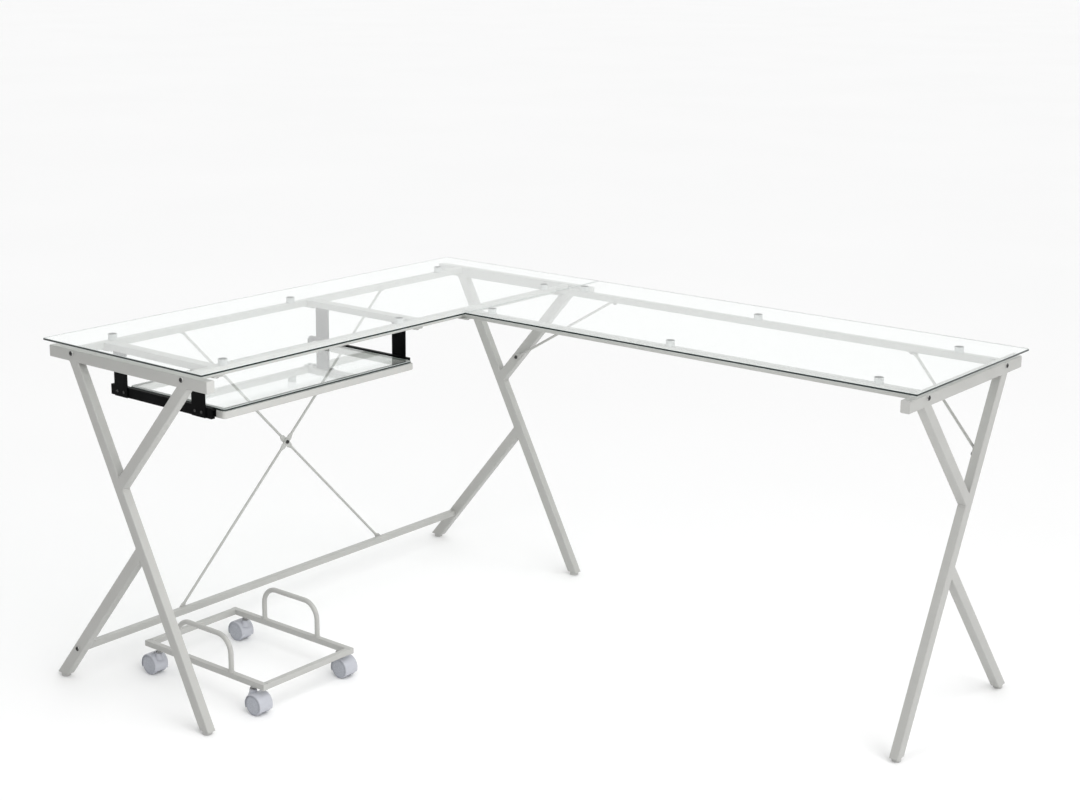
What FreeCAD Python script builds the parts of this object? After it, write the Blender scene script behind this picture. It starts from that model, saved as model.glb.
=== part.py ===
"""Corner computer desk: two glass tops in an L on three crossed-leg frames, a keyboard tray on
ball slides under the left wing, and a rolling caddy for the computer below the tray.

Millimetres, +Z up.  Everything is laid out from the desk's outer back corner (X runs along the
right wing, Y runs backwards, so the left wing runs towards -Y), then moved so that the origin is
the middle of the bounding box on the floor.
"""
import FreeCAD, Part
import math
import os

V = FreeCAD.Vector

# ---------------------------------------------------------------- driving dimensions
# Desk tops
top_height = 760.0            # floor to the upper face of the desk glass
glass_thickness = 5.0
glass_corner_radius = 2.5
glass_edge_chamfer = 0.6
glass_seam = 1.0              # gap between the two sheets
wing_depth = 495.0            # front to back, both wings
left_glass_length = 1260.0    # outer back corner to the left end
right_glass_length = 1112.0   # seam to the right end
pad_diameter = 20.0
pad_height = 12.0
pad_edge_radius = 1.0
pad_end_inset = 120.0         # last pad's centre to the end of its glass
pad_seam_inset = 15.0         # first right-wing pad's centre past the seam

# End frames: a top rail over a long leg and two parallel struts
end_rail_height = 25.0
end_rail_depth = 20.0
end_rail_setback = 14.0       # end of the glass to the rail's outer face
rail_end_inset = 2.5          # side of the glass to the end of the rail
leg_width = 25.0              # in the plane of the frame
leg_wall = 1.5
tube_corner_radius = 2.5
leg_top_inset = 78.0          # rail end to the long leg's centre line, under the rail
leg_foot_inset = 43.0         # the same at the floor, from the other rail end
strut_top_inset = 74.0        # rail end to the upper strut's centre line
strut_foot_overhang = 14.0    # how far the lower strut's foot stands out past the rail end
upper_node_drop = 235.0       # under the end rail, where the upper strut meets the long leg
lower_node_height = 341.0     # lower strut leaves the long leg
plug_cap = 2.0
plug_depth = 12.0
glide_diameter = 20.0
glide_height = 8.0
glide_edge_radius = 2.0
glide_plug_height = 12.0
plug_clearance = 0.1

# Long rails, stretcher and rods
rail_width = 15.0             # square tube
rail_wall = 1.2
rail_corner_radius = 1.8
rail_line = 75.5              # side of the wing to the rail's centre line
end_plate = 4.0               # threaded plate welded into each bolted tube end
stretcher_height = 80.0       # centre line above the floor
rod_diameter = 6.0
flat_thickness = 2.5          # where a rod is hammered flat
flat_width = 14.0
flat_reach = 16.0             # bolt to the place where the rod is round again
crossing_reach = 18.0         # half the length of the flats where the brace rods cross
crossing_corner = 3.5
brace_end_inset = 271.0       # brace bolt to the corner frame and to the left frame
knee_rail_offset = 105.0      # corner knee rod's upper bolt past the seam
knee_rail_end_offset = 193.0  # right knee rod's upper bolt from the right frame
knee_drop = 179.0             # knee rods' lower bolts below the end rails
right_knee_drop = 155.0

# Fasteners
bolt_diameter = 6.0
bolt_head_diameter = 11.0
bolt_head_height = 3.2
screw_diameter = 5.0
screw_head_diameter = 9.0
screw_head_height = 2.6
small_screw_diameter = 3.0
small_head_diameter = 6.0
small_head_height = 1.4
bore_clearance = 0.1          # radial, round every shank
crown_share = 0.6             # rounding and socket depth, of the head's height
socket_share = 0.24           # socket's corner radius, of the head's diameter
bolt_bite = 6.0               # shank past the threaded plate
screw_bite = 8.0              # shank past the plate or flange it holds
rod_screw_length = 12.0
tray_screw_length = 8.0
crossing_spare = 5.0          # crossing screw past both flats
nut_height = 3.5
tool_margin = 1.0             # how far a cutting shape runs past what it cuts

# Keyboard tray
tray_width = 556.0            # along Y
tray_back_line = 130.0        # outer side of the wing to the back of the tray
tray_front_setback = 65.0     # behind the front edge of the left glass
tray_centre = 871.0           # outer back corner to the middle of the tray, along the wing
tray_tube = 15.0
tray_tube_wall = 1.2
tray_corner_radius = 8.0
tray_glass_inset = 3.0
tray_drop = 103.0             # desk glass to tray glass, upper face to upper face
slide_height = 22.0
slide_length = 314.0
slide_front_setback = 24.0    # behind the front of the tray
slide_width = 13.0            # hanger to tray
slide_wall = 1.2
slide_nesting_gap = 0.8       # ball race between two nested members
slide_flange_gap = 3.6        # outer member's flanges to the tray's side
tray_screw_inset = 40.0       # end of the tray or slide to its screw
slide_drop = 10.0             # tray glass to the middle of the slide
cross_tube_width = 25.0
hanger_width = 40.0
hanger_thickness = 3.0
hanger_flange = 18.0
hanger_back_inset = 35.0      # slide end to hanger centre
hanger_front_inset = 36.0
hanger_edge_cover = 4.5       # cross tube stands out past the hanger plate
joint_plate_length = 31.0
joint_plate_thickness = 3.0
joint_plate_corner = 3.0
joint_screw_spacing = 15.5

# Computer caddy
caddy_length = 378.0          # along X
caddy_width = 263.0           # along Y
caddy_centre_x = 290.0        # from the outer side of the left wing
caddy_centre_y = 977.0        # from the outer back corner, along the wing
frame_over_neck = 20.0        # hood's neck to the top of the caddy's tubes
caddy_tube = 13.0
caddy_wall = 1.2
handle_diameter = 11.0
handle_span = 168.0           # between the legs' centre lines
handle_rise = 76.0            # tube top to the handle's centre line
handle_bend = 38.0
stem_inset = 39.0             # end of the caddy to the caster stem
stem_diameter = 10.0
stem_ring_diameter = 14.0
stem_ring_height = 3.0
stem_top_gap = 1.0            # shank's end below the tube's top wall
pin_diameter = 7.0
pin_clearance = 0.05          # radial
pin_floor = 1.5               # solid hood between the pin and the wheels' hollow
pin_end_gap = 0.3
caster_gap = 0.4              # stem ring to the hood's neck
wheel_radius = 22.0
wheel_width = 13.0
wheel_side_gap = 0.5
wheel_cover_gap = 0.8
wheel_chamfer = 1.2
caster_trail = 16.0
hood_wall = 1.7
hood_web = 8.0
hood_neck_diameter = 16.0
neck_over_wheel = 6.0         # hood's neck over the top of the wheel
hood_lip = 10.0               # hood's lower edge below the axle
axle_diameter = 6.0
axle_grip = 10.0              # length of axle inside each wheel

# ---------------------------------------------------------------- derived levels and lines
glass_bottom = top_height - glass_thickness
rail_top = glass_bottom - pad_height
end_rail_bottom = rail_top - end_rail_height
upper_node_height = end_rail_bottom - upper_node_drop
rail_middle = rail_top - rail_width / 2
rail_bottom = rail_top - rail_width

end_rail_length = wing_depth - 2 * rail_end_inset
leg_top = (leg_top_inset, end_rail_bottom)
leg_foot = (end_rail_length - leg_foot_inset, glide_height)
leg_slope = (leg_foot[0] - leg_top[0]) / (leg_foot[1] - leg_top[1])

right_start = wing_depth
right_end = wing_depth + right_glass_length
back_rail_line = rail_line
front_rail_line = wing_depth - rail_line
half_rail = rail_width / 2

left_frame_y = -left_glass_length + end_rail_setback
corner_frame_y = -end_rail_setback - end_rail_depth
right_frame_x = right_end - end_rail_setback - end_rail_depth
left_span = (left_frame_y + end_rail_depth, corner_frame_y)
right_span = (front_rail_line + half_rail, right_frame_x)

tray_top = top_height - tray_drop
tray_frame_top = tray_top - glass_thickness
tray_frame_bottom = tray_frame_top - tray_tube
tray_front = wing_depth - tray_front_setback
tray_back = tray_back_line
tray_left = -tray_centre - tray_width / 2
tray_right = -tray_centre + tray_width / 2
slide_middle_z = tray_top - slide_drop
slide_front = tray_front - slide_front_setback
slide_back = slide_front - slide_length
hanger_lines = (slide_back + hanger_back_inset, slide_front - hanger_front_inset)
left_plate = tray_left - slide_width - hanger_thickness
right_plate = tray_right + slide_width
cross_tube_starts = (left_plate - hanger_edge_cover, right_plate - hanger_edge_cover)

hood_neck_top = 2 * wheel_radius + neck_over_wheel
caddy_top = hood_neck_top + frame_over_neck
caddy_bottom = caddy_top - caddy_tube
caddy_lines = (-caddy_centre_y - caddy_width / 2, -caddy_centre_y + caddy_width / 2)
caddy_ends = (caddy_centre_x - caddy_length / 2, caddy_centre_x + caddy_length / 2)
stem_lines = (caddy_ends[0] + stem_inset, caddy_ends[1] - stem_inset)

parts = {}


# ---------------------------------------------------------------- plain shapes
def block(xs, ys, zs):
    """Box between two X, two Y and two Z values."""
    return Part.makeBox(xs[1] - xs[0], ys[1] - ys[0], zs[1] - zs[0], V(xs[0], ys[0], zs[0]))


def edges_along(shape, direction):
    """Straight edges of a shape that are parallel to a direction."""
    found = []
    for edge in shape.Edges:
        if isinstance(edge.Curve, Part.Line) and abs(abs(edge.Curve.Direction.dot(direction)) - 1) < 1e-6:
            found.append(edge)
    return found


def rounded(shape, direction, radius):
    """Shape with its edges along a direction rounded."""
    return shape.makeFillet(radius, edges_along(shape, direction))


def tube(xs, ys, zs, along, wall, corner, end_wall=0.0):
    """Rectangular tube along X or Y, open or closed by end walls."""
    direction = V(1, 0, 0) if along == "x" else V(0, 1, 0)
    inset_x = end_wall if along == "x" else wall
    inset_y = wall if along == "x" else end_wall
    outside = rounded(block(xs, ys, zs), direction, corner)
    inside = block((xs[0] + inset_x, xs[1] - inset_x), (ys[0] + inset_y, ys[1] - inset_y),
                   (zs[0] + wall, zs[1] - wall))
    return outside.cut(inside)


def cylinder(start, direction, length, radius):
    return Part.makeCylinder(radius, length, start, direction)


def group(shapes):
    """Separate solids kept side by side in one node."""
    solids = []
    for shape in shapes:
        solids.extend(shape.Solids)
    return Part.makeCompound(solids)


def facing(shape, place, along, normal):
    """Move a shape built at the origin so that its X runs along and its Z is the normal."""
    turn = FreeCAD.Rotation(along, V(0, 0, 0), normal, "ZXY")
    shape = shape.copy()
    shape.Placement = FreeCAD.Placement(place, turn)
    return shape


# ---------------------------------------------------------------- glass and its pads
def glass_sheet(xs, ys, top, corner):
    sheet = rounded(block(xs, ys, (top - glass_thickness, top)), V(0, 0, 1), corner)
    flat_edges = [edge for edge in sheet.Edges if edge.BoundBox.ZLength < 1e-6]
    return sheet.makeChamfer(glass_edge_chamfer, flat_edges)


def support_pads():
    """Three round pads on each long rail, between the rail and the glass."""
    spots = []
    left_end = -left_glass_length + pad_end_inset
    for y in (left_end, (left_end - pad_end_inset) / 2, -pad_end_inset):
        spots += [(back_rail_line, y), (front_rail_line, y)]
    first = right_start + pad_seam_inset
    last = right_end - pad_end_inset
    for x in (first, (first + last) / 2, last):
        spots += [(x, -back_rail_line), (x, -front_rail_line)]
    pads = []
    for x, y in spots:
        pad = cylinder(V(x, y, rail_top), V(0, 0, 1), pad_height, pad_diameter / 2)
        pads.append(pad.makeFillet(pad_edge_radius, pad.Edges[0:1]))
    return group(pads)


# ---------------------------------------------------------------- end frames
# Each frame is built with its rail along X from 0, its depth along Y from 0, and then placed.
def inclined_bar(top, foot, width, ys, corner):
    """Bar along the line from top to foot, running past both."""
    run = V(foot[0] - top[0], 0, foot[1] - top[1])
    spare = 3 * width
    bar = block((-spare, run.Length + spare), ys, (-width / 2, width / 2))
    if corner > 0:
        bar = rounded(bar, V(1, 0, 0), corner)
    bar.rotate(V(0, 0, 0), V(0, 1, 0), math.degrees(math.atan2(-run.z, run.x)))
    bar.translate(V(top[0], 0, top[1]))
    return bar


def inclined_tube(top, foot):
    outside = inclined_bar(top, foot, leg_width, (0, end_rail_depth), tube_corner_radius)
    inside = inclined_bar(top, foot, leg_width - 2 * leg_wall, (leg_wall, end_rail_depth - leg_wall), 0)
    return outside.cut(inside)


def leg_edge(height, side):
    """Where the long leg's left (-1) or right (+1) edge is at a height."""
    centre = leg_top[0] + (height - leg_top[1]) * leg_slope
    return centre + side * leg_width / 2 * math.sqrt(1 + leg_slope ** 2)


def clip(side):
    """Everything between the floor glide and the rail, on one side of the long leg or across it."""
    reach = side * 3 * wing_depth
    low, high = glide_height, end_rail_bottom
    if side == 0:
        reach = 3 * wing_depth
        outline = [(-reach, low), (reach, low), (reach, high), (-reach, high)]
    else:
        outline = [(leg_edge(low, side), low), (reach, low), (reach, high), (leg_edge(high, side), high)]
    corners = [V(x, -tool_margin, z) for x, z in outline]
    face = Part.Face(Part.makePolygon(corners + corners[:1]))
    return face.extrude(V(0, end_rail_depth + 2 * tool_margin, 0))


upper_strut_line = ((end_rail_length - strut_top_inset, end_rail_bottom),
                    (leg_edge(upper_node_height, 1), upper_node_height))
lower_strut_line = ((leg_edge(lower_node_height, -1), lower_node_height),
                    (-strut_foot_overhang, glide_height))


def on_line(line, height):
    """Position along the rail of a strut's centre line at a height."""
    (top_u, top_z), (foot_u, foot_z) = line
    return foot_u + (height - foot_z) * (top_u - foot_u) / (top_z - foot_z)


def middle_of_desk():
    """The lower struts' feet stand out past the corner; the glass ends the other two sides."""
    (top_u, top_z), (foot_u, foot_z) = lower_strut_line
    half_foot = leg_width / 2 * math.hypot(top_u - foot_u, top_z - foot_z) / (top_z - foot_z)
    past_corner = half_foot + strut_foot_overhang - rail_end_inset
    return V((right_end - past_corner) / 2, (past_corner - left_glass_length) / 2, 0)


def end_rail():
    return tube((plug_cap, end_rail_length - plug_cap), (0, end_rail_depth), (end_rail_bottom, rail_top),
                "x", leg_wall, tube_corner_radius)


def rail_plugs():
    """Plastic plugs: a cap over the rail's end and a body pushed inside it."""
    plugs = []
    inner = leg_wall + plug_clearance
    for cap, body in (((0, plug_cap), (plug_cap, plug_cap + plug_depth)),
                      ((end_rail_length - plug_cap, end_rail_length),
                       (end_rail_length - plug_cap - plug_depth, end_rail_length - plug_cap))):
        head = block(cap, (0, end_rail_depth), (end_rail_bottom, rail_top))
        head = rounded(head, V(1, 0, 0), tube_corner_radius)
        stub = block(body, (inner, end_rail_depth - inner), (end_rail_bottom + inner, rail_top - inner))
        plugs.append(head.fuse(stub))
    return plugs


def floor_glide(line, foot_u):
    """Round glide with a plug that follows the leg's inside."""
    disc = cylinder(V(foot_u, end_rail_depth / 2, 0), V(0, 0, 1), glide_height, glide_diameter / 2)
    floor_edges = [edge for edge in disc.Edges if edge.BoundBox.ZMax < 1e-6]
    disc = disc.makeFillet(glide_edge_radius, floor_edges)
    inner = leg_wall + plug_clearance
    body = inclined_bar(line[0], line[1], leg_width - 2 * inner, (inner, end_rail_depth - inner), 0)
    reach = 2 * leg_width
    slab = block((foot_u - reach, foot_u + reach), (0, end_rail_depth),
                 (glide_height, glide_height + glide_plug_height))
    return disc.fuse(body.common(slab))


def end_frame():
    """Shapes of one end frame in its own place."""
    leg = inclined_tube(leg_top, leg_foot).common(clip(0))
    upper = inclined_tube(*upper_strut_line).common(clip(1))
    lower = inclined_tube(*lower_strut_line).common(clip(-1))
    glides = [floor_glide((leg_top, leg_foot), leg_foot[0]),
              floor_glide(lower_strut_line, -strut_foot_overhang)]
    return {"end_rail": end_rail(), "long_leg": leg, "upper_strut": upper, "lower_strut": lower,
            "plugs": rail_plugs(), "glides": glides}


def put_frame(shape, name):
    """Stand a frame's shape at the left end, the corner or the right end."""
    shape = shape.copy()
    if name == "right":
        shape.rotate(V(0, 0, 0), V(0, 0, 1), -90)
        shape.translate(V(right_frame_x, -rail_end_inset, 0))
    else:
        depth = left_frame_y if name == "left" else corner_frame_y
        shape.translate(V(rail_end_inset, depth, 0))
    return shape


def build_end_frames():
    plugs = []
    glides = []
    for name in ("left", "corner", "right"):
        frame = end_frame()
        for piece in ("end_rail", "long_leg", "upper_strut", "lower_strut"):
            parts[name + "_" + piece] = put_frame(frame[piece], name)
        plugs += [put_frame(shape, name) for shape in frame["plugs"]]
        glides += [put_frame(shape, name) for shape in frame["glides"]]
    parts["rail_end_plugs"] = group(plugs)
    parts["floor_glides"] = group(glides)


# ---------------------------------------------------------------- long rails, stretcher and rods
def long_rail_y(x, span):
    return tube((x - half_rail, x + half_rail), span, (rail_bottom, rail_top), "y", rail_wall,
                rail_corner_radius, end_plate)


def long_rail_x(y, span):
    return tube(span, (y - half_rail, y + half_rail), (rail_bottom, rail_top), "x", rail_wall,
                rail_corner_radius, end_plate)


def stretcher_x():
    """The stretcher meets the middle of the lower struts."""
    return rail_end_inset + on_line(lower_strut_line, stretcher_height)


def build_rails():
    parts["left_back_rail"] = long_rail_y(back_rail_line, left_span)
    parts["left_front_rail"] = long_rail_y(front_rail_line, left_span)
    parts["right_back_rail"] = long_rail_x(-back_rail_line, right_span)
    parts["right_front_rail"] = long_rail_x(-front_rail_line, right_span)
    x = stretcher_x()
    levels = (stretcher_height - half_rail, stretcher_height + half_rail)
    parts["stretcher"] = tube((x - half_rail, x + half_rail), left_span, levels, "y", rail_wall,
                              rail_corner_radius, end_plate)


def flat_end(centre, along, normal, reach):
    """Hammered flat with a rounded tip round its bolt; it grows along and is centred on the bolt."""
    plate = block((0, reach), (-flat_width / 2, flat_width / 2), (-flat_thickness / 2, flat_thickness / 2))
    tip = Part.makeCylinder(flat_width / 2, flat_thickness, V(0, 0, -flat_thickness / 2))
    return facing(plate.fuse(tip), centre, along, normal)


def in_plane(direction, normal):
    """Direction with its share along the normal taken away."""
    flat = direction - normal * direction.dot(normal)
    return flat.normalize()


def rod(first, first_away, last, last_away, reach):
    """Round rod between two bolts, hammered flat at both ends.

    Each end lies flat against its seat and faces away from it; the round part starts past the
    flat, clear of the seat.
    """
    pieces = []
    ends = []
    for place, away, run in ((first, first_away, last - first), (last, last_away, first - last)):
        along = in_plane(run, away)
        pieces.append(flat_end(place, along, away, reach))
        lift = (rod_diameter - flat_thickness) / 2
        ends.append(place + along * (reach - rod_diameter / 2) + away * lift)
    start, stop = ends
    bar = cylinder(start, stop - start, (stop - start).Length, rod_diameter / 2)
    return bar.fuse(pieces)


def brace_ends():
    """Bolt points of the crossed rods on the back faces of the rail and of the stretcher."""
    top_x = back_rail_line - half_rail - flat_thickness / 2
    low_x = stretcher_x() - half_rail - flat_thickness / 2
    ys = (left_span[0] + brace_end_inset, left_span[1] - brace_end_inset)
    tops = [V(top_x, y, rail_middle) for y in ys]
    lows = [V(low_x, y, stretcher_height) for y in ys]
    return (tops[0], lows[1]), (tops[1], lows[0])


def brace_crossing():
    """Middle of the cross and the direction square to both rods."""
    (a, b), (c, d) = brace_ends()
    normal = (b - a).cross(d - c).normalize()
    return (a + b + c + d) * 0.25, normal


def build_brace():
    middle, normal = brace_crossing()
    for side, (top, low) in zip((1, -1), brace_ends()):
        run = (low - top).normalize()
        shape = rod(top, V(-1, 0, 0), low, V(-1, 0, 0), flat_reach)
        gap = cylinder(middle - run * crossing_reach, run, 2 * crossing_reach, rod_diameter)
        half = crossing_reach + tool_margin
        plate = block((-half, half), (-flat_width / 2, flat_width / 2), (0, flat_thickness))
        plate = rounded(plate, V(0, 0, 1), crossing_corner)
        plate = facing(plate, middle, run, normal * side)
        name = "falling_brace_rod" if side > 0 else "rising_brace_rod"
        parts[name] = shape.cut(gap).fuse(plate)


def knee_points():
    """Upper and lower bolt points of the two knee rods."""
    under_rail = rail_bottom - flat_thickness / 2
    low = end_rail_bottom - knee_drop
    corner_top = V(right_start + knee_rail_offset, -back_rail_line, under_rail)
    corner_low = V(rail_end_inset + on_line(upper_strut_line, low), corner_frame_y - flat_thickness / 2, low)
    right_low_z = end_rail_bottom - right_knee_drop
    leg_u = on_line((leg_top, leg_foot), right_low_z)
    right_top = V(right_frame_x - knee_rail_end_offset, -back_rail_line, under_rail)
    right_low = V(right_frame_x - flat_thickness / 2, -rail_end_inset - leg_u, right_low_z)
    return (corner_top, corner_low), (right_top, right_low)


def build_knee_rods():
    (corner_top, corner_low), (right_top, right_low) = knee_points()
    down = V(0, 0, -1)
    parts["corner_knee_rod"] = rod(corner_top, down, corner_low, V(0, -1, 0), flat_reach)
    parts["right_knee_rod"] = rod(right_top, down, right_low, V(-1, 0, 0), flat_reach)


# ---------------------------------------------------------------- tray supports and tray
def build_cross_tubes():
    span = (back_rail_line + half_rail, front_rail_line - half_rail)
    for name, y in zip(("left", "right"), cross_tube_starts):
        parts["tray_cross_tube_" + name] = tube(span, (y, y + cross_tube_width), (rail_bottom, rail_top),
                                                "x", rail_wall, rail_corner_radius)


def joints():
    """Butt joints between two tubes: x range and y range of the plate under each, and its screws."""
    found = []
    spacing = joint_screw_spacing
    for y in cross_tube_starts:
        ys = (y, y + cross_tube_width)
        found.append(((front_rail_line + half_rail - joint_plate_length, front_rail_line + half_rail), ys,
                      (front_rail_line, front_rail_line - spacing)))
        found.append(((back_rail_line - half_rail, back_rail_line - half_rail + joint_plate_length), ys,
                      (back_rail_line, back_rail_line + spacing)))
    for line in (back_rail_line, front_rail_line):
        ys = (-line - cross_tube_width / 2, -line + cross_tube_width / 2)
        found.append(((front_rail_line - half_rail, front_rail_line - half_rail + joint_plate_length), ys,
                      (front_rail_line, front_rail_line + spacing)))
    return found


def build_joint_plates():
    plates = []
    for xs, ys, screws in joints():
        plate = block(xs, ys, (rail_bottom - joint_plate_thickness, rail_bottom))
        plates.append(rounded(plate, V(0, 0, 1), joint_plate_corner))
    parts["joint_plates"] = group(plates)


def hanger(x, y):
    """Flat steel strap with a flange turned under the cross tube."""
    xs = (x - hanger_width / 2, x + hanger_width / 2)
    foot = slide_middle_z - slide_height / 2
    plate = block(xs, (y, y + hanger_thickness), (foot, rail_bottom))
    flange = block(xs, (y, y + hanger_flange), (rail_bottom - hanger_thickness, rail_bottom))
    return plate.fuse(flange).removeSplitter()


def channel(web, tip, height, name):
    """C-shaped slide member: its web stands at one Y and its flanges reach to another."""
    step = slide_wall if tip > web else -slide_wall
    xs = (slide_back, slide_front)
    low = slide_middle_z - height / 2
    high = slide_middle_z + height / 2
    shape = block(xs, sorted((web, web + step)), (low, high))
    for zs in ((low, low + slide_wall), (high - slide_wall, high)):
        shape = shape.fuse(block(xs, sorted((web, tip)), zs))
    parts[name] = shape.removeSplitter()


def build_slides():
    """Three nested members each side: the outer on the hangers, the inner on the tray."""
    step = slide_wall + slide_nesting_gap
    heights = [slide_height, slide_height - 2 * step, slide_height - 4 * step]
    for name, start, way in (("left", tray_left - slide_width, 1), ("right", right_plate, -1)):
        channel(start, start + way * (slide_width - slide_flange_gap), heights[0], name + "_slide_outer")
        middle = start + way * (slide_wall + slide_nesting_gap * 2)
        channel(middle, middle + way * (slide_width / 2), heights[1], name + "_slide_middle")
        inner = start + way * slide_width
        channel(inner, middle + way * (slide_wall + slide_nesting_gap), heights[2], name + "_slide_inner")


def build_hangers():
    straps = [hanger(x, y) for y in (left_plate, right_plate) for x in hanger_lines]
    parts["slide_hangers"] = group(straps)


def build_tray():
    zs = (tray_frame_bottom, tray_frame_top)
    sides = (tray_back, tray_front - tray_tube)
    front = block((tray_front - tray_tube, tray_front), (tray_left, tray_right), zs)
    ends = [edge for edge in edges_along(front, V(0, 0, 1)) if edge.BoundBox.XMin > tray_front - tool_margin]
    front = front.makeFillet(tray_corner_radius, ends)
    level = [edge for edge in front.Edges if edge.BoundBox.ZLength < 1e-6]
    top_edges = [edge for edge in level if edge.BoundBox.XMax > tray_front - tool_margin]
    front = front.makeFillet(rail_corner_radius, top_edges)
    hollow = block((tray_front - tray_tube + tray_tube_wall, tray_front - tray_tube_wall),
                   (tray_left + tray_corner_radius, tray_right - tray_corner_radius),
                   (zs[0] + tray_tube_wall, zs[1] - tray_tube_wall))
    parts["tray_front_tube"] = front.cut(hollow)
    parts["tray_left_tube"] = tube(sides, (tray_left, tray_left + tray_tube), zs, "x", tray_tube_wall,
                                   rail_corner_radius, tray_tube_wall)
    parts["tray_right_tube"] = tube(sides, (tray_right - tray_tube, tray_right), zs, "x", tray_tube_wall,
                                    rail_corner_radius, tray_tube_wall)
    parts["tray_back_tube"] = tube((tray_back, tray_back + tray_tube),
                                   (tray_left + tray_tube, tray_right - tray_tube), zs, "y",
                                   tray_tube_wall, rail_corner_radius)
    inset = tray_glass_inset
    parts["tray_glass"] = glass_sheet((tray_back + inset, tray_front - inset),
                                      (tray_left + inset, tray_right - inset), tray_top, tray_corner_radius)


# ---------------------------------------------------------------- computer caddy
def build_caddy_frame():
    xs = caddy_ends
    zs = (caddy_bottom, caddy_top)
    for name, y in (("left", caddy_lines[0]), ("right", caddy_lines[1] - caddy_tube)):
        parts["caddy_%s_tube" % name] = tube(xs, (y, y + caddy_tube), zs, "x", caddy_wall,
                                             rail_corner_radius, caddy_wall)
    between = (caddy_lines[0] + caddy_tube, caddy_lines[1] - caddy_tube)
    for name, x in (("back", xs[0]), ("front", xs[1] - caddy_tube)):
        parts["caddy_%s_tube" % name] = tube((x, x + caddy_tube), between, zs, "y", caddy_wall,
                                             rail_corner_radius)


def handle(y):
    """Inverted U bent from round rod, standing on a side tube."""
    low = caddy_top
    high = caddy_top + handle_rise
    first = caddy_centre_x - handle_span / 2
    last = caddy_centre_x + handle_span / 2
    bend = handle_bend
    lift = bend * (1 - math.sqrt(0.5))
    path = [Part.LineSegment(V(first, y, low), V(first, y, high - bend)),
            Part.Arc(V(first, y, high - bend), V(first + lift, y, high - lift), V(first + bend, y, high)),
            Part.LineSegment(V(first + bend, y, high), V(last - bend, y, high)),
            Part.Arc(V(last - bend, y, high), V(last - lift, y, high - lift), V(last, y, high - bend)),
            Part.LineSegment(V(last, y, high - bend), V(last, y, low))]
    wire = Part.Wire([piece.toShape() for piece in path])
    section = Part.Wire([Part.Circle(V(first, y, low), V(0, 0, 1), handle_diameter / 2).toShape()])
    return wire.makePipeShell([section], True, False)


def caster_centres():
    """Stem position and trailing way of the four casters, wheels outwards."""
    half = caddy_tube / 2
    return {"left_back": (stem_lines[0], caddy_lines[0] + half, -1),
            "left_front": (stem_lines[1], caddy_lines[0] + half, 1),
            "right_back": (stem_lines[0], caddy_lines[1] - half, -1),
            "right_front": (stem_lines[1], caddy_lines[1] - half, 1)}


def caster_stem(x, y):
    """Steel stem: a pin in the hood, a ring, and a shank in the tube."""
    ring = hood_neck_top + caster_gap
    pin = cylinder(V(x, y, pin_bottom()), V(0, 0, 1), ring - pin_bottom(), pin_diameter / 2)
    collar = cylinder(V(x, y, ring), V(0, 0, 1), stem_ring_height, stem_ring_diameter / 2)
    shank_start = ring + stem_ring_height
    shank_length = caddy_top - caddy_wall - stem_top_gap - shank_start
    shank = cylinder(V(x, y, shank_start), V(0, 0, 1), shank_length, stem_diameter / 2)
    return pin.fuse([collar, shank])


def pin_bottom():
    """The pin stops above the wheels' hollow."""
    hollow = wheel_radius + wheel_cover_gap
    return wheel_radius + math.sqrt(hollow ** 2 - caster_trail ** 2) + pin_floor


def caster_hood(x, y, way):
    """Hood over both wheels, joined by a web in the middle, with a neck for the stem."""
    axle = V(x + way * caster_trail, y, wheel_radius)
    outer = wheel_radius + wheel_cover_gap + hood_wall
    hollow = wheel_radius + wheel_cover_gap
    half_width = hood_web / 2 + wheel_side_gap + wheel_width + wheel_side_gap
    hood = cylinder(axle - V(0, half_width, 0), V(0, 1, 0), 2 * half_width, outer)
    hood = hood.fuse(cylinder(V(x, y, wheel_radius), V(0, 0, 1), hood_neck_top - wheel_radius,
                              hood_neck_diameter / 2))
    for side in (1, -1):
        start = axle + V(0, side * hood_web / 2, 0)
        hood = hood.cut(cylinder(start, V(0, side, 0), half_width, hollow))
    reach = 2 * outer
    below = (-reach, wheel_radius - hood_lip)
    hood = hood.cut(block((axle.x - reach, axle.x + reach), (y - reach, y + reach), below))
    hood = hood.cut(cylinder(axle - V(0, half_width, 0), V(0, 1, 0), 2 * half_width,
                             axle_diameter / 2 + pin_clearance))
    depth = pin_bottom() - pin_end_gap
    return hood.cut(cylinder(V(x, y, depth), V(0, 0, 1), hood_neck_top, pin_diameter / 2 + pin_clearance))


def caster_wheels(x, y, way):
    """Two wheels pressed on one axle."""
    axle = V(x + way * caster_trail, y, wheel_radius)
    pieces = []
    inner_face = hood_web / 2 + wheel_side_gap
    for side in (1, -1):
        start = axle + V(0, side * inner_face, 0)
        wheel = cylinder(start, V(0, side, 0), wheel_width, wheel_radius)
        rims = [edge for edge in wheel.Edges if edge.BoundBox.YLength < 1e-6]
        wheel = wheel.makeChamfer(wheel_chamfer, rims)
        pieces.append(wheel.cut(cylinder(start, V(0, side, 0), axle_grip, axle_diameter / 2)))
    length = 2 * (inner_face + axle_grip)
    pieces.append(cylinder(axle - V(0, length / 2, 0), V(0, 1, 0), length, axle_diameter / 2))
    return group(pieces)


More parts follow.
